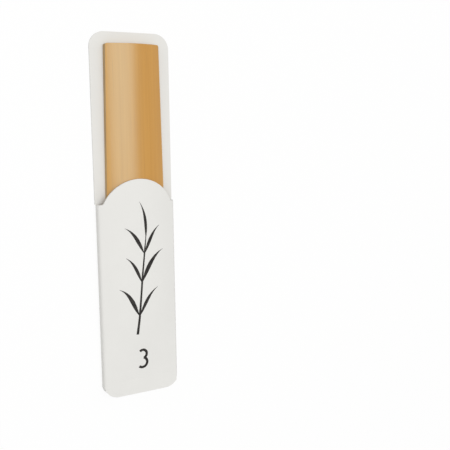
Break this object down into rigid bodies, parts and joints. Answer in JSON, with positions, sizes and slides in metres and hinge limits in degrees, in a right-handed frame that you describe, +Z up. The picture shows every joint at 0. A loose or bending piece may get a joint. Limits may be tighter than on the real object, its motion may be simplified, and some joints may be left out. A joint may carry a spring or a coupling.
{
  "type": "baritone saxophone reed in its sleeve",
  "caption": "Tapered cane reed with a scraped vamp and thin tip, held tip first in a folded paperboard sleeve with an arched pocket mouth, printed back and rounded corners.",
  "frame": {"origin": "centre of the printed back's outer face, on which the part lies", "axes": "+Z up out of the pocket's front, -Z out of the printed back, +Y along the sleeve towards the reed's heel, +X across the width"},
  "size_m": [0.022, 0.097, 0.0046],
  "materials": {
    "cane": "satin bark, matte scraped vamp",
    "card": "uncoated matte white, green printed back",
    "side_glue": "dried film",
    "bottom_glue": "dried film"
  },
  "bodies": {
    "sleeve": {"folded_sleeve": "card", "side_glue_strip": "side_glue", "bottom_glue_strip": "bottom_glue"},
    "reed": {"cane_reed": "cane"}
  },
  "joints": [
    {"name": "reed_slide", "type": "slide", "parent": "sleeve", "child": "reed", "axis": [0, 1, 0], "range_m": [-0.0016, 0.095]}
  ]
}
